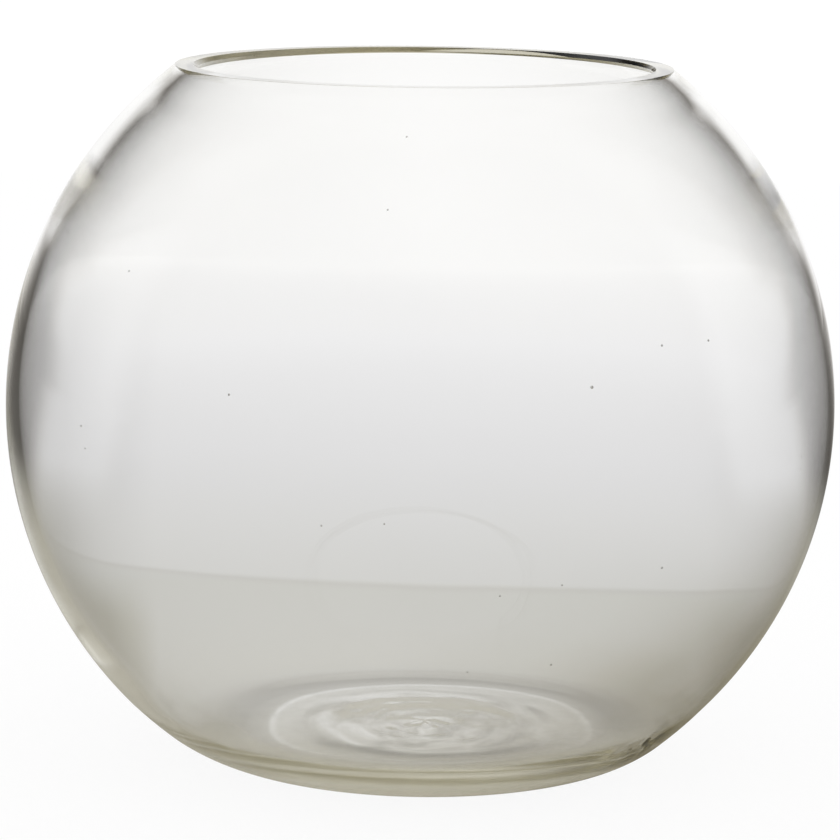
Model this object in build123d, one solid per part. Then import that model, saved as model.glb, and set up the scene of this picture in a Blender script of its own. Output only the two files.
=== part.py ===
from build123d import *
import os

# Rose bowl vase, in millimetres: one piece of clear soda-lime glass, blown into a round mould.
# It is a squat ball with a flat, cut and polished mouth, a thick floor, and a ground foot round a
# shallow punt. It holds no second piece and nothing on it moves.
# The origin is the middle of the foot, where it stands, and +Z runs up through the mouth.

# The outside, from the mouth down to the heel
body_diameter = 203.2
body_height = 171.0
equator_height = 87.7
mouth_outer_diameter = 121.5

# The heel is a tighter bend, which takes over from the side here
heel_top_diameter = 127.2
heel_top_height = 8.0

# The underside: a ground ring to stand on, and the punt inside it, which starts to rise over
# a hollow bend and turns over into a shallow dome, at a share of the way to the middle
foot_diameter = 86.0
punt_diameter = 54.0
punt_depth = 1.6
punt_bend_share = 0.2

# The mouth is cut flat. Its outer corner is only just broken, and its inner one has a ground slope.
mouth_diameter = 111.0
mouth_arris = 0.2
mouth_slope_width = 0.7
mouth_slope_depth = 1.0

# Thickness of the wall, square to the outside, from the mouth down. The glass is thick round the
# mouth, where it cooled first, thins down to the side, and is thick again round the heel.
mouth_wall = 4.2
neck_wall = 4.4
neck_low_wall = 4.3
upper_shoulder_wall = 4.15
shoulder_wall = 3.9
lower_shoulder_wall = 3.3
shoulder_end_wall = 2.65
upper_side_wall = 2.4
equator_wall = 2.35
lower_side_wall = 2.3
thin_side_wall = 2.2
heel_top_wall = 2.7
heel_wall = 4.4

# The floor inside: nearly flat, a little higher in the middle
floor_diameter = 84.0
floor_height = 8.2
floor_crown = 0.5

# Where those thicknesses lie, as shares of the way up from the equator to the mouth
shoulder_shares = (0.96, 0.92, 0.86, 0.78, 0.68, 0.60, 0.52, 0.42, 0.20)
shoulder_walls = (mouth_wall, neck_wall, neck_low_wall, upper_shoulder_wall, shoulder_wall,
                  lower_shoulder_wall, shoulder_end_wall, upper_side_wall, upper_side_wall)
# and as shares of the way down from the equator to the heel, and round the heel to the foot
side_shares = (0.35, 0.60, 0.80, 0.98)
side_walls = (lower_side_wall, thin_side_wall, thin_side_wall, heel_top_wall)
heel_shares = (0.30,)
heel_walls = (heel_wall,)


def inside_point(edge, share, wall):
    """The point of the inside that lies a wall's thickness in from the outer line."""
    along = edge % share
    inward = Vector(along.Y, -along.X)
    if inward.X > 0:
        inward = -inward
    return (edge @ share) + inward * wall


def outer_lines():
    """The outside's three arcs, in the plane of radius and height."""
    equator = (body_diameter / 2, equator_height)
    mouth = (mouth_outer_diameter / 2, body_height - mouth_arris)
    heel_top = (heel_top_diameter / 2, heel_top_height)
    foot = (foot_diameter / 2, 0)
    shoulder = TangentArc(equator, mouth, tangent=(0, 1))
    side = TangentArc(equator, heel_top, tangent=(0, -1))
    heel = TangentArc(heel_top, foot, tangent=side % 1)
    return shoulder, side, heel


def floor_line():
    """The inside's floor, out from the axis: a very shallow dome."""
    middle = (0, floor_height + floor_crown)
    return TangentArc(middle, (floor_diameter / 2, floor_height), tangent=(1, 0))


def inner_line(shoulder, side, heel, floor):
    """The inside of the wall, as one smooth line from the mouth down to the floor's edge."""
    places = [Vector(mouth_diameter / 2, body_height - mouth_slope_depth)]
    for share, wall in zip(shoulder_shares, shoulder_walls):
        places.append(inside_point(shoulder, share, wall))
    places.append(Vector(body_diameter / 2 - equator_wall, equator_height))
    for share, wall in zip(side_shares, side_walls):
        places.append(inside_point(side, share, wall))
    for share, wall in zip(heel_shares, heel_walls):
        places.append(inside_point(heel, share, wall))
    places.append(floor @ 1)
    return Spline(places, tangents=(-(shoulder % 1), -(floor % 1)))


def mouth_lines(shoulder, inside):
    """The flat top of the mouth and the two slopes beside it."""
    outer_corner = (mouth_outer_diameter / 2 - mouth_arris, body_height)
    inner_corner = (mouth_diameter / 2 + mouth_slope_width, body_height)
    flat = Line(outer_corner, inner_corner)
    return [Line(shoulder @ 1, outer_corner), flat, Line(inner_corner, inside @ 0)]


def foot_lines():
    """The punt, out from the axis, and the ground ring that the vase stands on."""
    punt_top = Vector(0, punt_depth)
    punt_edge = Vector(punt_diameter / 2, 0)
    turn = punt_edge + (punt_top - punt_edge) * punt_bend_share
    dome = TangentArc(punt_top, turn, tangent=(1, 0))
    bend = TangentArc(turn, punt_edge, tangent=dome % 1)
    return [dome, bend, Line(punt_edge, (foot_diameter / 2, 0))]


def glass_bowl():
    """The whole vase: its half section turned round the axis."""
    shoulder, side, heel = outer_lines()
    floor = floor_line()
    inside = inner_line(shoulder, side, heel, floor)
    foot = foot_lines()
    lines = [shoulder, side, heel, inside, floor] + mouth_lines(shoulder, inside) + foot
    lines.append(Line(foot[0] @ 0, floor @ 0))
    return revolve(Plane.XZ * make_face(lines), axis=Axis.Z)


os.makedirs("parts", exist_ok=True)
bowl = glass_bowl()
export_step(bowl, "parts/glass_bowl.step")
print("glass_bowl", round(bowl.volume / 1000, 1), "cm3", bowl.bounding_box())
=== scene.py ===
import math

import bpy
import numpy as np
from mathutils import Matrix, Vector, noise


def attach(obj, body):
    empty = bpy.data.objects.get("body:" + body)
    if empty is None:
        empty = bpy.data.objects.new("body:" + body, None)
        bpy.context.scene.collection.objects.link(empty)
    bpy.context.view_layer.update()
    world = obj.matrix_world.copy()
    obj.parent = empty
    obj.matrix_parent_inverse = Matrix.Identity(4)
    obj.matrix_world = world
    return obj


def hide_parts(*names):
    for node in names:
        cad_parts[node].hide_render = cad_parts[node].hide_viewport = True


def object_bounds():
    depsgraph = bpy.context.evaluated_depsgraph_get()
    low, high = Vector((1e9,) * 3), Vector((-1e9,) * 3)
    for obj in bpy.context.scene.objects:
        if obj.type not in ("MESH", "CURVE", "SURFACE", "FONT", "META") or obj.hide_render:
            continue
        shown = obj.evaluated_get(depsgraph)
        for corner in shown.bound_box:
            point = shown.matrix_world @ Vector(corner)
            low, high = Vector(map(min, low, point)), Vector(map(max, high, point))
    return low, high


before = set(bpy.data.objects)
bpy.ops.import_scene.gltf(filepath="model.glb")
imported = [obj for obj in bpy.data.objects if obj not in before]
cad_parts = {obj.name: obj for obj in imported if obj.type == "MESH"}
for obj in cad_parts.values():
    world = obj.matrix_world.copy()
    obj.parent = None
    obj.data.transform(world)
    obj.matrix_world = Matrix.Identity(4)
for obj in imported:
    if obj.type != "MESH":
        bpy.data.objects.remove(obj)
cad_low, cad_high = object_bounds()

# Lengths are in metres. The vase stands on z = 0 with its axis on z, and the camera looks along y.
MM = 0.001
BODY_RADIUS = (cad_high.x - cad_low.x) / 2
BODY_HEIGHT = cad_high.z

# The outside: two long arcs that meet at the widest height, and a tighter heel
EQUATOR_HEIGHT = 87.7 * MM
MOUTH_OUTER_RADIUS = 60.75 * MM
HEEL_TOP_RADIUS = 63.6 * MM
HEEL_TOP_HEIGHT = 8.0 * MM
FOOT_RADIUS = 43.0 * MM

# The underside: a ground ring, then the punt
PUNT_RADIUS = 27.0 * MM
PUNT_DEPTH = 1.6 * MM
PUNT_BEND_SHARE = 0.2

# The mouth, cut flat: its outer corner is only just broken, and its inner one has a ground slope
MOUTH_RADIUS = 55.5 * MM
MOUTH_ARRIS = 0.2 * MM
MOUTH_SLOPE_WIDTH = 0.7 * MM
MOUTH_SLOPE_DEPTH = 1.0 * MM

# The floor inside
FLOOR_RADIUS = 42.0 * MM
FLOOR_HEIGHT = 8.2 * MM
FLOOR_CROWN = 0.5 * MM

# Wall thickness at shares of the way from the widest height up to the mouth, and down to the heel
SHOULDER_WALLS = ((0.96, 4.2 * MM), (0.92, 4.4 * MM), (0.86, 4.3 * MM), (0.78, 4.15 * MM),
                  (0.68, 3.9 * MM), (0.60, 3.3 * MM), (0.52, 2.65 * MM), (0.42, 2.4 * MM),
                  (0.20, 2.4 * MM))
SIDE_WALLS = ((0.0, 2.35 * MM), (0.35, 2.3 * MM), (0.60, 2.2 * MM), (0.80, 2.2 * MM), (0.98, 2.7 * MM))
HEEL_WALLS = ((0.30, 4.4 * MM),)

# The blown inside sits a little to the right of the moulded outside, more so low down, so the left
# wall is thicker: (height, shift)
INSIDE_SHIFTS = ((8 * MM, 1.2 * MM), (60 * MM, 0.8 * MM), (110 * MM, 0.5 * MM), (171 * MM, 0.35 * MM))

# The heel sagged a little to the right of the body while it was hot: (height, shift)
HEEL_SHIFTS = ((0.0, 1.4 * MM), (3 * MM, 1.1 * MM), (8 * MM, 0.4 * MM), (16 * MM, 0.0))

# No blown wall is quite even: the inside waves in and out a little, and has smaller waves on those,
# which are this share as deep and this many times finer
WAVE_SIZE = 38 * MM
WAVE_DEPTH = 0.02 * MM
SMALL_WAVE_SHARE = 0.4
SMALL_WAVE_TIMES = 2.3

# The skin under the punt chilled on the iron into wrinkles. The long ones curl round the middle,
# change a few times on the way round, and are bent aside by a slower pattern.
WRINKLE_GAP = 3.2 * MM
WRINKLE_DEPTH = 0.22 * MM
WRINKLE_TURNS = 1.5
WRINKLE_BEND = 0.9
WRINKLE_BEND_SIZE = 14 * MM
# Short ones lie between them,
SHORT_WRINKLE_GAP = 1.4 * WRINKLE_GAP
SHORT_WRINKLE_SHARE = 0.3
# and all fade towards the punt's edge and stay above the foot, by this share of the punt's height
WRINKLE_EDGE = 5 * MM
WRINKLE_ROOM_SHARE = 0.9

# Seeds, the small bubbles left in blown glass, which lie in the front wall here:
# (right, height, width), in millimetres
SEEDS = ((-83, 133, 0.5), (-67, 128, 0.4), (-43, 104, 0.5), (-4, 160, 0.4), (-8, 145, 0.4),
         (54, 115, 0.5), (65, 115, 0.5), (38, 107, 0.7), (-78, 92, 0.5), (-77, 87, 0.4),
         (-22, 76, 0.4), (-8, 77, 0.4), (32, 62, 0.4), (55, 64, 0.5), (18, 60, 0.4),
         (11, 41, 0.4), (30, 42, 0.5), (89, 84, 0.5), (89, 81, 0.4))

# A corner sharper than this was cut, and anything flatter was blown
CUT_CORNER = math.radians(25)

# Steps of the mesh: round the axis, along each line of the section, and from pole to pole of a seed
STEPS_ROUND = 264
DOME_STEPS, HOLLOW_STEPS, GROUND_STEPS = 34, 8, 10
HEEL_STEPS, SIDE_STEPS, SHOULDER_STEPS = 26, 40, 44
WALL_STEPS, FLOOR_STEPS = 150, 30
SEED_RINGS = 8


def bend(start, direction, end):
    """The arc that leaves start in a direction and reaches end: centre, radius, first and last angle."""
    chord = end - start
    across = np.array([-direction[1], direction[0]])
    if across @ chord < 0:
        across = -across
    radius = chord @ chord / (2 * across @ chord)
    centre = start + across * radius
    first, last = (math.atan2(y, x) for x, y in (start - centre, end - centre))
    return centre, radius, first, last


def on_bend(arc, share):
    """A point of such an arc and the direction straight out of it."""
    centre, radius, first, last = arc
    angle = first + (last - first) * share
    outward = np.array([math.cos(angle), math.sin(angle)])
    return centre + outward * radius, outward


def bend_points(arc, count):
    """Points along such an arc, both ends among them."""
    return [on_bend(arc, share)[0] for share in np.linspace(0, 1, count)]


def smooth_line(places, first_slope, last_slope, count):
    """A line with an even bend through the places, which leaves and arrives along the slopes."""
    places = np.array(places)
    gaps = np.linalg.norm(np.diff(places, axis=0), axis=1)
    steps = np.diff(places, axis=0) / gaps[:, None]
    last = len(places) - 1
    matrix = np.eye(last + 1)
    sides = np.zeros_like(places)
    sides[0], sides[last] = first_slope, last_slope
    for i in range(1, last):
        before, after = gaps[i - 1], gaps[i]
        matrix[i, i - 1:i + 2] = after, 2 * (before + after), before
        sides[i] = 3 * (after * steps[i - 1] + before * steps[i])
    slopes = np.linalg.solve(matrix, sides)
    ends = np.concatenate([[0], np.cumsum(gaps)])
    line = []
    for far in np.linspace(0, ends[-1], count):
        i = min(np.searchsorted(ends, far, side="right") - 1, last - 1)
        t = (far - ends[i]) / gaps[i]
        near_part = (1 + 2 * t) * (1 - t) ** 2 * places[i] + t * (1 - t) ** 2 * gaps[i] * slopes[i]
        far_part = t * t * (3 - 2 * t) * places[i + 1] + t * t * (t - 1) * gaps[i] * slopes[i + 1]
        line.append(near_part + far_part)
    return line


def inner_wall(shoulder, side, heel, floor):
    """The inside of the wall, a thickness in from the outside, from the mouth to the floor's edge."""
    places = [np.array([MOUTH_RADIUS, BODY_HEIGHT - MOUTH_SLOPE_DEPTH])]
    for arc, walls in ((shoulder, SHOULDER_WALLS), (side, SIDE_WALLS), (heel, HEEL_WALLS)):
        for share, wall in walls:
            point, outward = on_bend(arc, share)
            places.append(point - outward * wall)
    floor_end, floor_up = on_bend(floor, 1)
    places.append(floor_end)
    mouth_out = on_bend(shoulder, 1)[1]
    first_slope = np.array([mouth_out[1], -mouth_out[0]])
    last_slope = np.array([-floor_up[1], floor_up[0]])
    return smooth_line(places, first_slope, last_slope, WALL_STEPS)


def section():
    """The vase's half section, from the punt's middle out and up: its outside, its mouth's flat top,
    and its inside, down to the floor's middle."""
    up, down, out = np.array([0, 1]), np.array([0, -1]), np.array([1, 0])
    equator = np.array([BODY_RADIUS, EQUATOR_HEIGHT])
    mouth = np.array([MOUTH_OUTER_RADIUS, BODY_HEIGHT - MOUTH_ARRIS])
    heel_top = np.array([HEEL_TOP_RADIUS, HEEL_TOP_HEIGHT])
    foot = np.array([FOOT_RADIUS, 0])
    shoulder = bend(equator, up, mouth)
    side = bend(equator, down, heel_top)
    side_end = on_bend(side, 1)[1]
    heel = bend(heel_top, np.array([side_end[1], -side_end[0]]), foot)

    punt_top, punt_edge = np.array([0, PUNT_DEPTH]), np.array([PUNT_RADIUS, 0])
    turn = punt_edge + (punt_top - punt_edge) * PUNT_BEND_SHARE
    dome = bend(punt_top, out, turn)
    hollow = bend(punt_edge, -out, turn)

    outside = bend_points(dome, DOME_STEPS)[:-1]
    outside += bend_points(hollow, HOLLOW_STEPS)[::-1]
    outside += [punt_edge + (foot - punt_edge) * share for share in np.linspace(0, 1, GROUND_STEPS)[1:]]
    outside += bend_points(heel, HEEL_STEPS)[::-1][1:]
    outside += bend_points(side, SIDE_STEPS)[::-1][1:]
    outside += bend_points(shoulder, SHOULDER_STEPS)[1:]

    rim = [np.array([MOUTH_OUTER_RADIUS - MOUTH_ARRIS, BODY_HEIGHT]),
           np.array([MOUTH_RADIUS + MOUTH_SLOPE_WIDTH, BODY_HEIGHT])]

    floor_middle = np.array([0, FLOOR_HEIGHT + FLOOR_CROWN])
    floor = bend(floor_middle, out, np.array([FLOOR_RADIUS, FLOOR_HEIGHT]))
    inside = inner_wall(shoulder, side, heel, floor)
    inside += bend_points(floor, FLOOR_STEPS)[::-1][1:]
    return outside, rim, inside


def wave(x, y, height):
    """How far in the inside of the wall waves at a place."""
    place = Vector((x, y, height)) / WAVE_SIZE
    small = SMALL_WAVE_SHARE * noise.noise(place * SMALL_WAVE_TIMES)
    return WAVE_DEPTH * (noise.noise(place) + small)


def wrinkle(x, y):
    """How far down the skin of the punt wrinkles at a place."""
    radius, turn = math.hypot(x, y), math.atan2(y, x)
    aside = WRINKLE_BEND * noise.noise(Vector((x, y, 0)) / WRINKLE_BEND_SIZE)
    turn += aside
    along = Vector((WRINKLE_TURNS * math.cos(turn), WRINKLE_TURNS * math.sin(turn), 0))
    long = noise.noise(along + Vector((0, 0, radius / WRINKLE_GAP + aside)))
    short = noise.noise(Vector((x, y, 1)) / SHORT_WRINKLE_GAP)
    fade_out = min(max((PUNT_RADIUS - radius) / WRINKLE_EDGE, 0), 1)
    return WRINKLE_DEPTH * fade_out * (long + SHORT_WRINKLE_SHARE * short)


def shift_right(height, shifts):
    """How far to the right the glass sits at a height."""
    return float(np.interp(height, *zip(*shifts)))


def seed_ball(centre, size, first):
    """One seed: a small ball whose faces look in, out of the glass. It has its poles last."""
    around = 2 * SEED_RINGS
    spots = []
    for i in range(1, SEED_RINGS):
        down = math.pi * i / SEED_RINGS
        for j in range(around):
            turn = math.pi * j / SEED_RINGS
            out = (math.sin(down) * math.cos(turn), math.sin(down) * math.sin(turn), math.cos(down))
            spots.append(tuple(centre + Vector(out) * size))
    pole = Vector((0, 0, size))
    spots += [tuple(centre + pole), tuple(centre - pole)]
    top, bottom = first + len(spots) - 2, first + len(spots) - 1
    last = first + (SEED_RINGS - 2) * around
    faces = []
    for j in range(around):
        k = (j + 1) % around
        faces.append((top, first + k, first + j))
        for i in range(SEED_RINGS - 2):
            upper, lower = first + i * around, first + (i + 1) * around
            faces.append((upper + j, upper + k, lower + k, lower + j))
        faces.append((bottom, last + j, last + k))
    return spots, faces


def seeds(outside, inside, first):
    """All the seeds, half way through the front wall. Their points are numbered on from the first."""
    outer = np.array([point for point in outside if point[0] >= FOOT_RADIUS])
    inner = np.array(inside[::-1])
    spots, faces = [], []
    for right, height, width in SEEDS:
        x, z = right * MM, height * MM
        radius = (np.interp(z, outer[:, 1], outer[:, 0]) + np.interp(z, inner[:, 1], inner[:, 0])) / 2
        y = -math.sqrt(radius * radius - x * x)
        centre = Vector((x + shift_right(z, INSIDE_SHIFTS) / 2, y, z))
        ball_spots, ball_faces = seed_ball(centre, width / 2 * MM, first + len(spots))
        spots += ball_spots
        faces += ball_faces
    return spots, faces


def turned_spots(outside, rim, inside):
    """The section's points turned round the axis, as unevenly as blown glass is."""
    line = outside + rim + inside
    first_inside = len(outside) + len(rim)
    turns = np.arange(STEPS_ROUND) * 2 * math.pi / STEPS_ROUND
    low_shift = shift_right(0, HEEL_SHIFTS)
    spots = [(low_shift, 0, line[0][1])]
    for i, (radius, height) in enumerate(line[1:-1], start=1):
        for turn in turns:
            x, y = radius * math.sin(turn), -radius * math.cos(turn)
            if i >= first_inside:
                push = 1 + wave(x, y, height) * min(1, radius / FLOOR_RADIUS) / radius
                spots.append((x * push + shift_right(height, INSIDE_SHIFTS), y * push, height))
            elif radius < PUNT_RADIUS and height > 0:
                spots.append((x + low_shift, y, height - min(wrinkle(x, y), WRINKLE_ROOM_SHARE * height)))
            else:
                spots.append((x + shift_right(height, HEEL_SHIFTS), y, height))
    spots.append((shift_right(line[-1][1], INSIDE_SHIFTS), 0, line[-1][1]))
    return spots


def turned_faces(rings):
    """The faces of a turned section that has so many rings between its two points on the axis."""
    last, end = 1 + (rings - 1) * STEPS_ROUND, 1 + rings * STEPS_ROUND
    faces = []
    for j in range(STEPS_ROUND):
        k = (j + 1) % STEPS_ROUND
        faces.append((0, 1 + k, 1 + j))
        for i in range(rings - 1):
            low, high = 1 + i * STEPS_ROUND, 1 + (i + 1) * STEPS_ROUND
            faces.append((low + j, low + k, high + k, high + j))
        faces.append((last + j, last + k, end))
    return faces


def blown_bowl():
    """The whole vase as one closed mesh, with the seeds as hollows in its wall."""
    outside, rim, inside = section()
    spots = turned_spots(outside, rim, inside)
    faces = turned_faces(len(outside + rim + inside) - 2)
    seed_spots, seed_faces = seeds(outside, inside[:WALL_STEPS], len(spots))
    mesh = bpy.data.meshes.new("glass_bowl_blown")
    mesh.from_pydata(spots + seed_spots, [], faces + seed_faces)
    mesh.shade_smooth()
    mesh.set_sharp_from_angle(angle=CUT_CORNER)
    bowl = bpy.data.objects.new("blown_bowl", mesh)
    bpy.context.collection.objects.link(bowl)
    return bowl


def linear(hex_colour):
    """A colour written as on a screen, as the light that it stands for."""
    values = [int(hex_colour[i:i + 2], 16) / 255 for i in (1, 3, 5)]
    return tuple(v / 12.92 if v <= 0.04045 else ((v + 0.055) / 1.055) ** 2.4 for v in values) + (1,)


def add(tree, kind, values=None):
    """Adds a node with its settings and links, each under its own name or its input's number. A hex
    value is a colour. A node or an output feeds that input, a node by its first output in use."""
    node = tree.nodes.new(kind)
    for name, value in (values or {}).items():
        if isinstance(value, bpy.types.Node):
            value = next(output for output in value.outputs if output.enabled)
        if isinstance(value, str) and value.startswith("#"):
            value = linear(value)
        if isinstance(name, str) and hasattr(node, name):
            setattr(node, name, value)
            continue
        if isinstance(name, int):
            entry = node.inputs[name]
        else:
            entry = next(one for one in node.inputs if one.enabled and one.name == name)
        if isinstance(value, bpy.types.NodeSocket):
            tree.links.new(value, entry)
        else:
            entry.default_value = value
    return node


def empty_tree(owner):
    """The node tree of a material or a world, with nothing in it yet."""
    owner.use_nodes = True
    owner.node_tree.nodes.clear()
    return owner.node_tree


# What a mix of two colours is set to, and one that shades the first colour by the second
MIX = {"data_type": "RGBA"}
SHADED = {"data_type": "RGBA", "blend_type": "MULTIPLY"}


def fade(value, start, end):
    """What a range is set to so that it goes softly from 0 at the start to 1 at the end."""
    return {"interpolation_type": "SMOOTHSTEP", "Value": value, "From Min": start, "From Max": end}


def greys(tree, value, steps):
    """Greys against a value, as (value, colour) steps."""
    low, high = steps[0][0], steps[-1][0]
    place = add(tree, "ShaderNodeMapRange", {"Value": value, "From Min": low, "From Max": high})
    ramp = add(tree, "ShaderNodeValToRGB", {"Fac": place})
    elements = ramp.color_ramp.elements
    elements[1].color = linear(steps[-1][1])
    elements[0].color = linear(steps[0][1])
    for level, colour in steps[1:-1]:
        elements.new((level - low) / (high - low)).color = linear(colour)
    return ramp


# Clear soda-lime glass, with the trace of iron that shows grey-green where it is thick
GLASS_IOR = 1.52
GLASS_TINT = "#d5cfaa"
TINT_PER_METRE = 5.0
# The ring that the vase stands on is ground flat with a fine grit, so it scatters the light
GROUND_HEIGHT = 0.08 * MM
GRIT_SIZE = 0.6 * MM
GROUND_ROUGHNESS = (0.08, 0.25)
# and the heel above it has a faint rippled skin where the mould chilled it
SKIN_HEIGHT = 16 * MM
SKIN_ROUGHNESS = 0.16
RIPPLE_SIZE = 14 * MM
RIPPLE_DEPTH = 0.14 * MM
RIPPLE_HEIGHT = 2 * SKIN_HEIGHT
# with one place at its front right where the skin folded
FOLD_PLACE = (52 * MM, -38 * MM, 6 * MM)
FOLD_INNER, FOLD_OUTER = 5 * MM, 15 * MM
FOLD_SIZE = 9 * MM
FOLD_DEPTH = 1.0 * MM
FOLD_CURL = 0.6


def clear_glass():
    """Clear glass, blown and fire-polished: smooth enough to mirror, but for the foot and the heel."""
    material = bpy.data.materials.new("clear_blown_soda_lime_glass")
    tree = empty_tree(material)
    place = add(tree, "ShaderNodeTexCoord").outputs["Object"]
    height = add(tree, "ShaderNodeSeparateXYZ", {0: place}).outputs[2]

    skin = add(tree, "ShaderNodeMapRange", fade(height, SKIN_HEIGHT, 0.0))
    skin = add(tree, "ShaderNodeMath", {"operation": "MULTIPLY", 0: skin, 1: SKIN_ROUGHNESS})
    grit = add(tree, "ShaderNodeTexNoise", {"Vector": place, "Scale": 1 / GRIT_SIZE, "Detail": 2.0})
    low, high = GROUND_ROUGHNESS
    grit = add(tree, "ShaderNodeMapRange", {"Value": grit, "To Min": low, "To Max": high})
    ground = add(tree, "ShaderNodeMapRange", fade(height, GROUND_HEIGHT, 0.0))
    ground = add(tree, "ShaderNodeMath", {"operation": "MULTIPLY", 0: ground, 1: grit})
    roughness = add(tree, "ShaderNodeMath", {"operation": "MAXIMUM", 0: skin, 1: ground})

    ripple = add(tree, "ShaderNodeTexNoise", {"Vector": place, "Scale": 1 / RIPPLE_SIZE, "Detail": 1.0})
    rippled = add(tree, "ShaderNodeMapRange", fade(height, RIPPLE_HEIGHT, 0.0))
    ripple = add(tree, "ShaderNodeMath", {"operation": "MULTIPLY", 0: ripple, 1: rippled})
    ripple = add(tree, "ShaderNodeMath", {"operation": "MULTIPLY", 0: ripple, 1: RIPPLE_DEPTH})
    folds = {"Vector": place, "Scale": 1 / FOLD_SIZE, "Detail": 1.0, "Distortion": FOLD_CURL}
    fold = add(tree, "ShaderNodeTexNoise", folds)
    from_fold = add(tree, "ShaderNodeVectorMath", {"operation": "DISTANCE", 0: place, 1: FOLD_PLACE})
    folded = add(tree, "ShaderNodeMapRange", fade(from_fold, FOLD_OUTER, FOLD_INNER))
    fold = add(tree, "ShaderNodeMath", {"operation": "MULTIPLY", 0: fold, 1: folded})
    fold = add(tree, "ShaderNodeMath", {"operation": "MULTIPLY", 0: fold, 1: FOLD_DEPTH})
    relief = add(tree, "ShaderNodeMath", {"operation": "ADD", 0: ripple, 1: fold})
    bump = add(tree, "ShaderNodeBump", {"Strength": 1.0, "Distance": 1.0, "Height": relief})

    glass = add(tree, "ShaderNodeBsdfPrincipled", {
        "Base Color": "#ffffff", "Transmission Weight": 1.0, "IOR": GLASS_IOR,
        "Roughness": roughness, "Normal": bump})
    tint = add(tree, "ShaderNodeVolumeAbsorption", {"Color": GLASS_TINT, "Density": TINT_PER_METRE})
    add(tree, "ShaderNodeOutputMaterial", {"Surface": glass, "Volume": tint})
    return material


# The studio: a white sweep that the glass shows between darker gaps. What goes straight through the
# glass, or comes off its walls, bends by up to 30 degrees, so these angles set its edge lines.
PLAIN_TURN, CORNER_TURN = math.radians(45), math.radians(78)
# The white sweep is lit just past white
LIGHT_LEVEL = 1.035
# Greys by degrees off axis: of what is seen through the glass, and of the room that it mirrors
SEEN_SWEEP = ((0, "#ffffff"), (8, "#fcfcfc"), (15, "#f0f0f0"), (19, "#d6d5d3"), (22.5, "#a29f9c"))
ROOM_SWEEP = ((0, "#ffffff"), (8, "#fafafa"), (13, "#f0f0f0"), (16, "#dedddb"), (19.5, "#b4b1ae"),
              (23, "#7f7c78"), (27, "#625f5b"), (31, "#54514d"), (39, "#5a5854"))
# A little above the table the gaps close, by up to these degrees: the more over the first of these
# ranges of the height's sine, and less again over the second
GAP_CLOSING = 8
CLOSING_FROM, CLOSING_TO = (-0.02, 0.10), (0.27, 0.14)
# and they get lighter with the height, by its sine
GAP_LIFT = ((-0.12, "#000000"), (0.0, "#4a4a4a"), (0.06, "#6c6c6c"), (0.17, "#606060"),
            (0.26, "#4c4c4c"), (0.36, "#5c5c5c"), (0.46, "#8c8c8c"), (0.57, "#b6b6b6"),
            (0.71, "#e2e2e2"), (0.87, "#f8f8f8"))
# What the bowl mirrors from its own hollow, by the sine of the height, and at the table
HOLLOW_GREYS = ((-0.20, "#989694"), (0.0, "#a09e9c"), (0.26, "#c0c0c0"), (0.57, "#d2d2d2"),
                (1.0, "#e8e8e8"))
HOLLOW_TABLE = HOLLOW_GREYS[1][1]
# The hollow takes over towards the camera: in the room by the share of its direction that runs back,
# and on the table by how far back a place lies, in metres
HOLLOW_ROOM_FRONT, HOLLOW_TABLE_FRONT = (0.10, -0.15), (0.0, -0.15)
# Light that has run round inside the thick glass reaches it from all over the studio, and evens out
DEEP_LIGHT = "#d2cfc4"
# from above, by the sine of the height, and from the table near it, in metres
DEEP_RISE, DEEP_REACH = (0.28, 0.42), (0.30, 0.16)
# The light that falls on what is matt, and the white behind the vase
EVEN_LIGHT = "#f8f8f8"
WHITE = "#ffffff"
# How often light was mirrored, and how often it went through a face, tells where it has been. The
# first number lies between never and once, and the second between one wall and more. From the first
# to the second of the last two, it has run round inside thick glass.
MIRRORED_ONCE, THROUGH_A_WALL = 0.5, 2.5
RUN_ROUND = (1.8, 3.4)


def off_axis(tree, azimuth, turn):
    """How far a direction is from the nearest whole multiple of a turn, in degrees."""
    near = add(tree, "ShaderNodeMath", {"operation": "PINGPONG", 0: azimuth, 1: turn / 2})
    return add(tree, "ShaderNodeMath", {"operation": "MULTIPLY", 0: near, 1: math.degrees(1)})


def way_through_glass(tree, light, front, reach):
    """Where the light has been: whether it was mirrored, how much it came by the bowl's hollow, which
    takes over towards the front, and how much it ran round in thick glass, within reach."""
    times = {"operation": "GREATER_THAN", 0: light["Glossy Depth"], 1: MIRRORED_ONCE}
    mirrored = add(tree, "ShaderNodeMath", times)
    times = {"operation": "GREATER_THAN", 0: light["Transmission Depth"], 1: THROUGH_A_WALL}
    crossed = add(tree, "ShaderNodeMath", times)
    in_front = add(tree, "ShaderNodeMapRange", fade(*front))
    hollow = add(tree, "ShaderNodeMath", {"operation": "MAXIMUM", 0: crossed, 1: in_front})
    often = add(tree, "ShaderNodeMapRange", fade(light["Glossy Depth"], *RUN_ROUND))
    near = add(tree, "ShaderNodeMapRange", fade(*reach))
    deep = add(tree, "ShaderNodeMath", {"operation": "MULTIPLY", 0: often, 1: near})
    return mirrored, hollow, deep


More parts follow.
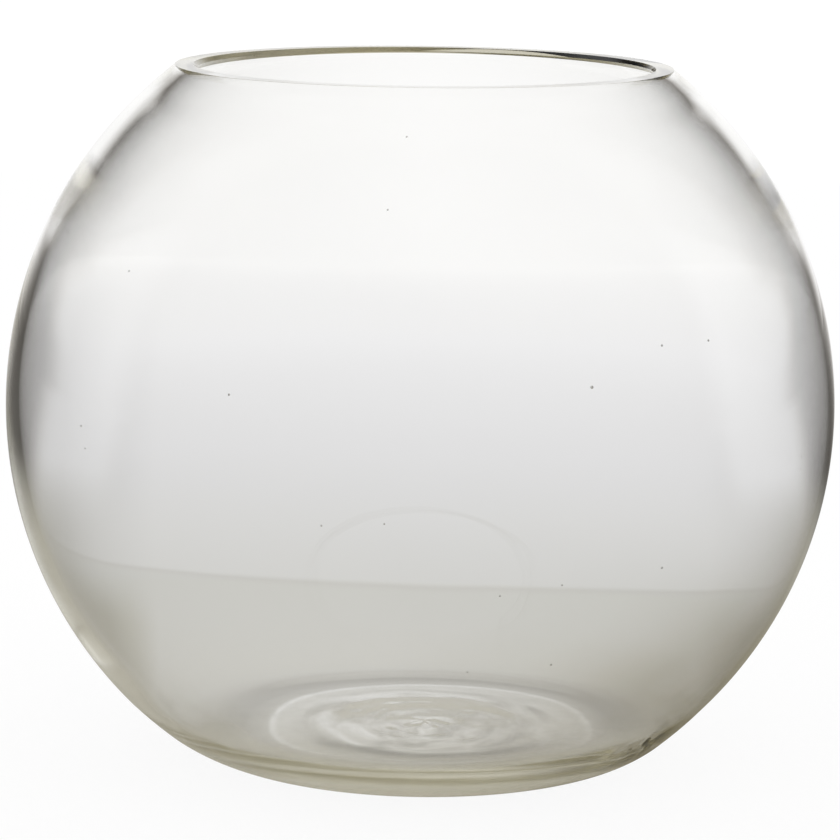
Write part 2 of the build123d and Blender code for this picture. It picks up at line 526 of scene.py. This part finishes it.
def studio_world():
    """The studio all round: what the glass shows and mirrors of it, and a plain white for the rest."""
    world = bpy.data.worlds.new("pale_studio")
    bpy.context.scene.world = world
    tree = empty_tree(world)
    light = add(tree, "ShaderNodeLightPath").outputs
    way = add(tree, "ShaderNodeTexCoord").outputs["Generated"]
    x, y, z = add(tree, "ShaderNodeSeparateXYZ", {0: way}).outputs
    azimuth = add(tree, "ShaderNodeMath", {"operation": "ARCTAN2", 0: x, 1: y})
    mirrored, hollow, deep = way_through_glass(tree, light, (y, *HOLLOW_ROOM_FRONT), (z, *DEEP_RISE))

    above = add(tree, "ShaderNodeMapRange", fade(z, *CLOSING_FROM))
    below = add(tree, "ShaderNodeMapRange", fade(z, *CLOSING_TO))
    closing = add(tree, "ShaderNodeMath", {"operation": "MULTIPLY", 0: above, 1: below})
    closing = add(tree, "ShaderNodeMath", {"operation": "MULTIPLY", 0: closing, 1: GAP_CLOSING})
    off = {"operation": "SUBTRACT", 0: off_axis(tree, azimuth, CORNER_TURN), 1: closing}
    room = greys(tree, add(tree, "ShaderNodeMath", off), ROOM_SWEEP)
    lightest = {**MIX, "blend_type": "LIGHTEN", "Factor": 1.0, "A": room, "B": greys(tree, z, GAP_LIFT)}
    room = add(tree, "ShaderNodeMix", lightest)
    room = add(tree, "ShaderNodeMix", {**MIX, "Factor": deep, "A": room, "B": DEEP_LIGHT})
    within = greys(tree, z, HOLLOW_GREYS)
    room = add(tree, "ShaderNodeMix", {**MIX, "Factor": hollow, "A": room, "B": within})

    seen = greys(tree, off_axis(tree, azimuth, PLAIN_TURN), SEEN_SWEEP)
    shown = add(tree, "ShaderNodeMix", {**MIX, "Factor": mirrored, "A": seen, "B": room})
    matt = light["Is Diffuse Ray"]
    shown = add(tree, "ShaderNodeMix", {**MIX, "Factor": matt, "A": shown, "B": EVEN_LIGHT})
    behind = light["Is Camera Ray"]
    shown = add(tree, "ShaderNodeMix", {**MIX, "Factor": behind, "A": shown, "B": WHITE})
    back = add(tree, "ShaderNodeBackground", {"Color": shown, "Strength": LIGHT_LEVEL})
    add(tree, "ShaderNodeOutputWorld", {"Surface": back})


# The table top, a hair under the foot. To the camera it is an even light and a thin matt grey, which
# takes the vase's shadow, so it lies at white with a soft shadow on it.
TABLE_HALF = 1300 * MM
TABLE_DROP = 0.3 * MM
TABLE_GREY = "#595959"
TABLE_LIGHT = 0.905
# Through the glass it shows the vase's soft shadow, in greys by the distance from the middle of that
# shadow, in metres: darkest where the foot rests, with the light that the punt gathers inside it
SHADOW_MIDDLE = (3 * MM, 1 * MM, 0)
SHADOW_CLOSE = ((0.0, "#dfdedb"), (0.010, "#dcdbd8"), (0.017, "#d8d6d2"), (0.026, "#e4e3df"),
                (0.032, "#eeedea"), (0.0380, "#e8e7e3"), (0.0390, "#ffffff"), (0.0398, "#ffffff"),
                (0.0408, "#cdcbc6"), (0.046, "#b4b2ad"), (0.052, "#bab8b3"), (0.058, "#c8c6c1"),
                (0.066, "#d0cfca"), (0.080, "#d2d1cc"), (0.200, "#d2d2cf"))
SHADOW_WIDE = ((0.200, "#d2d2d0"), (0.250, "#d6d6d5"), (0.430, "#e4e4e5"), (0.700, "#f4f4f5"),
               (1.200, "#ffffff"))
# The punt's wrinkles gather the light under it into curled streaks, which follow its round: their
# width, how many times they change on the way round, how fine and how curled they are
STREAK_WIDTH = 5.5 * MM
STREAK_TURNS = 1.5
STREAK_DETAIL, STREAK_CURL = 3.0, 0.7
STREAKS_OUTER, STREAKS_INNER = 38 * MM, 28 * MM
STREAKS = ((0.32, "#b9b7b1"), (0.45, "#dad8d4"), (0.56, "#eeedea"), (0.66, "#ffffff"))
# and its front edge keeps some light back, by the distance from the same middle, more so from the
# first of these places to the second, in metres
PUNT_SHADE = ((0.0250, "#ffffff"), (0.0280, "#8e8b83"), (0.0300, "#97948c"), (0.0335, "#e9e7e2"),
              (0.0390, "#ffffff"))
PUNT_SHADE_FRONT = (-0.004, -0.020)
# The table ends at a straight edge behind the vase, in metres, where a paler sweep begins
TABLE_EDGE = ((0.150, "#f5f5f4"), (0.188, "#f5f5f3"), (0.1945, "#f0efed"), (0.2000, "#ffffff"),
              (0.220, "#ffffff"))
# Just in front of the foot it is darker, by metres back from the axis, and within this reach of it
FRONT_SHADE = ((-0.055, "#b8b6ae"), (-0.030, "#dad8d1"), (-0.010, "#f3f2ef"), (0.006, "#ffffff"))
FRONT_SHADE_REACH = (0.13, 0.08)
# and painted shade darkens it towards both sides, by how far a place is off the middle for its distance
# from in front: the far sides and the near ones, which each fade out from the first to the second of
# their ends
SIDE_START = 0.9
FAR_SIDE_SHADE = ((0.080, "#ffffff"), (0.100, "#f5f5f5"), (0.120, "#e4e4e4"), (0.150, "#d8d8d8"))
NEAR_SIDE_SHADE = ((0.078, "#ffffff"), (0.088, "#e6e4dc"), (0.098, "#cfccc1"))
SIDES_BEHIND = (-0.15, -0.03)
FAR_SIDES_END, NEAR_SIDES_END = (1.2, 0.6), (0.19, 0.10)
# The table as the glass mirrors it, from in front (-1) to behind (1), and where the room takes over
TABLE_MIRRORED = ((-1.0, "#a5a191"), (0.0, "#a5a193"), (0.6, "#a5a295"), (0.85, "#adaba1"),
                  (1.0, "#c8c7c3"))
ROOM_REACH = (200 * MM, 430 * MM)
# The shadow's right side, across a line that leans by a share, in metres, and where it ends
RIGHT_LEAN = -0.3
RIGHT_SHADE = ((-0.030, "#ffffff"), (0.005, "#f9f9f7"), (0.015, "#f3f2ef"), (0.022, "#edece8"),
               (0.031, "#e3e0d9"), (0.038, "#d8d5cc"), (0.044, "#cfcbc0"), (0.080, "#c8c4b7"))
RIGHT_SHADE_REACH = (330 * MM, 60 * MM)


def punt_streaks(tree, flat, distance):
    """The curled streaks of light under the punt: a pattern drawn out along its round."""
    out = add(tree, "ShaderNodeVectorMath", {"operation": "NORMALIZE", 0: flat})
    out = add(tree, "ShaderNodeVectorMath", {"operation": "SCALE", 0: out, "Scale": STREAK_TURNS})
    far = add(tree, "ShaderNodeMath", {"operation": "DIVIDE", 0: distance, 1: STREAK_WIDTH})
    far = add(tree, "ShaderNodeCombineXYZ", {2: far})
    along = add(tree, "ShaderNodeVectorMath", {"operation": "ADD", 0: out, 1: far})
    curls = {"Vector": along, "Scale": 1.0, "Detail": STREAK_DETAIL, "Distortion": STREAK_CURL}
    return greys(tree, add(tree, "ShaderNodeTexNoise", curls), STREAKS)


def table_seen(tree, x, y, flat, distance):
    """The table as it shows through the glass."""
    from_shadow = add(tree, "ShaderNodeVectorMath", {"operation": "DISTANCE", 0: flat, 1: SHADOW_MIDDLE})
    wide_start = SHADOW_WIDE[0][0]
    wide = add(tree, "ShaderNodeMath", {"operation": "GREATER_THAN", 0: from_shadow, 1: wide_start})
    close, far = greys(tree, from_shadow, SHADOW_CLOSE), greys(tree, from_shadow, SHADOW_WIDE)
    seen = add(tree, "ShaderNodeMix", {**MIX, "Factor": wide, "A": close, "B": far})
    streaks = punt_streaks(tree, flat, distance)
    under_punt = add(tree, "ShaderNodeMapRange", fade(from_shadow, STREAKS_OUTER, STREAKS_INNER))
    seen = add(tree, "ShaderNodeMix", {**MIX, "Factor": under_punt, "A": seen, "B": streaks})

    # Painted shade towards the sides, by how far a place is off the middle for its distance from in front
    off_middle = add(tree, "ShaderNodeMath", {"operation": "ABSOLUTE", 0: x})
    from_front = add(tree, "ShaderNodeMath", {"operation": "ADD", 0: y, 1: SIDE_START})
    aside = add(tree, "ShaderNodeMath", {"operation": "DIVIDE", 0: off_middle, 1: from_front})
    behind = add(tree, "ShaderNodeMapRange", fade(y, *SIDES_BEHIND))
    far_side_shading = add(tree, "ShaderNodeMapRange", fade(y, *FAR_SIDES_END))
    far_side_shading = add(tree, "ShaderNodeMath", {"operation": "MULTIPLY", 0: behind, 1: far_side_shading})
    near_side_shading = add(tree, "ShaderNodeMapRange", fade(y, *NEAR_SIDES_END))
    near_side_shading = add(tree, "ShaderNodeMath", {"operation": "MULTIPLY", 0: behind, 1: near_side_shading})
    at_punt_front = add(tree, "ShaderNodeMapRange", fade(y, *PUNT_SHADE_FRONT))
    at_foot = add(tree, "ShaderNodeMapRange", fade(distance, *FRONT_SHADE_REACH))
    for part, value, steps in ((at_punt_front, from_shadow, PUNT_SHADE), (1.0, y, TABLE_EDGE),
                               (at_foot, y, FRONT_SHADE), (far_side_shading, aside, FAR_SIDE_SHADE),
                               (near_side_shading, aside, NEAR_SIDE_SHADE)):
        shade = greys(tree, value, steps)
        seen = add(tree, "ShaderNodeMix", {**SHADED, "Factor": part, "A": seen, "B": shade})
    return seen


def table_mirrored(tree, x, y, distance, hollow, deep):
    """The table as the glass mirrors it."""
    backward = add(tree, "ShaderNodeMath", {"operation": "DIVIDE", 0: y, 1: distance})
    close = greys(tree, backward, TABLE_MIRRORED)
    azimuth = add(tree, "ShaderNodeMath", {"operation": "ARCTAN2", 0: x, 1: y})
    far = greys(tree, off_axis(tree, azimuth, CORNER_TURN), ROOM_SWEEP)
    far = add(tree, "ShaderNodeMix", {**MIX, "Factor": hollow, "A": far, "B": HOLLOW_TABLE})
    room = add(tree, "ShaderNodeMapRange", fade(distance, *ROOM_REACH))
    mirrored = add(tree, "ShaderNodeMix", {**MIX, "Factor": room, "A": close, "B": far})
    return add(tree, "ShaderNodeMix", {**MIX, "Factor": deep, "A": mirrored, "B": DEEP_LIGHT})


def white_laminate():
    """White laminate, matt: to the eye a plain white with no grain and a soft shadow."""
    material = bpy.data.materials.new("white_laminate")
    tree = empty_tree(material)
    light = add(tree, "ShaderNodeLightPath").outputs
    place = add(tree, "ShaderNodeNewGeometry").outputs["Position"]
    x, y, _ = add(tree, "ShaderNodeSeparateXYZ", {0: place}).outputs
    flat = add(tree, "ShaderNodeCombineXYZ", {0: x, 1: y})
    distance = add(tree, "ShaderNodeVectorMath", {"operation": "LENGTH", 0: flat})
    front, reach = (y, *HOLLOW_TABLE_FRONT), (distance, *DEEP_REACH)
    mirrored, hollow, deep = way_through_glass(tree, light, front, reach)

    seen = table_seen(tree, x, y, flat, distance)
    in_glass = table_mirrored(tree, x, y, distance, hollow, deep)
    shown = add(tree, "ShaderNodeMix", {**MIX, "Factor": mirrored, "A": seen, "B": in_glass})
    lean = add(tree, "ShaderNodeMath", {"operation": "MULTIPLY", 0: y, 1: RIGHT_LEAN})
    across = add(tree, "ShaderNodeMath", {"operation": "ADD", 0: x, 1: lean})
    shade = greys(tree, across, RIGHT_SHADE)
    near = add(tree, "ShaderNodeMapRange", fade(distance, *RIGHT_SHADE_REACH))
    shown = add(tree, "ShaderNodeMix", {**SHADED, "Factor": near, "A": shown, "B": shade})
    shown = add(tree, "ShaderNodeEmission", {"Color": shown, "Strength": LIGHT_LEVEL})

    matt = add(tree, "ShaderNodeBsdfDiffuse", {"Color": TABLE_GREY})
    lift = add(tree, "ShaderNodeEmission", {"Color": WHITE, "Strength": TABLE_LIGHT})
    bright = add(tree, "ShaderNodeAddShader", {0: matt, 1: lift})
    top = add(tree, "ShaderNodeMixShader", {0: light["Is Camera Ray"], 1: shown, 2: bright})
    add(tree, "ShaderNodeOutputMaterial", {"Surface": top})
    return material


def table():
    bpy.ops.mesh.primitive_plane_add(size=2 * TABLE_HALF, location=(0, 0, -TABLE_DROP))
    top = bpy.context.object
    top.name = "table"
    top.data.materials.append(white_laminate())


# The camera: how far in front it stands and how high, how it leans, and its lens in millimetres
CAMERA_DISTANCE, CAMERA_HEIGHT = 1.016, 0.25603
CAMERA_PITCH, CAMERA_ROLL = math.radians(9.63), math.radians(0.74)
CAMERA_LENS = 179.2


def camera():
    data = bpy.data.cameras.new("camera")
    data.lens = CAMERA_LENS
    cam = bpy.data.objects.new("camera", data)
    bpy.context.collection.objects.link(cam)
    level = Matrix.Rotation(math.radians(90) - CAMERA_PITCH, 4, "X")
    stand = Matrix.Translation((0, -CAMERA_DISTANCE, CAMERA_HEIGHT))
    cam.matrix_world = stand @ level @ Matrix.Rotation(CAMERA_ROLL, 4, "Z")
    bpy.context.scene.camera = cam


bowl = blown_bowl()
bowl.data.materials.append(clear_glass())
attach(bowl, "root")
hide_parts("glass_bowl")

bpy.context.scene.view_settings.view_transform = "Standard"
# Light runs round inside the thick glass, so it may bounce this often before it comes out
BOUNCES = 128
for kind in ("max_bounces", "glossy_bounces", "transmission_bounces"):
    setattr(bpy.context.scene.cycles, kind, BOUNCES)
studio_world()
table()
camera()
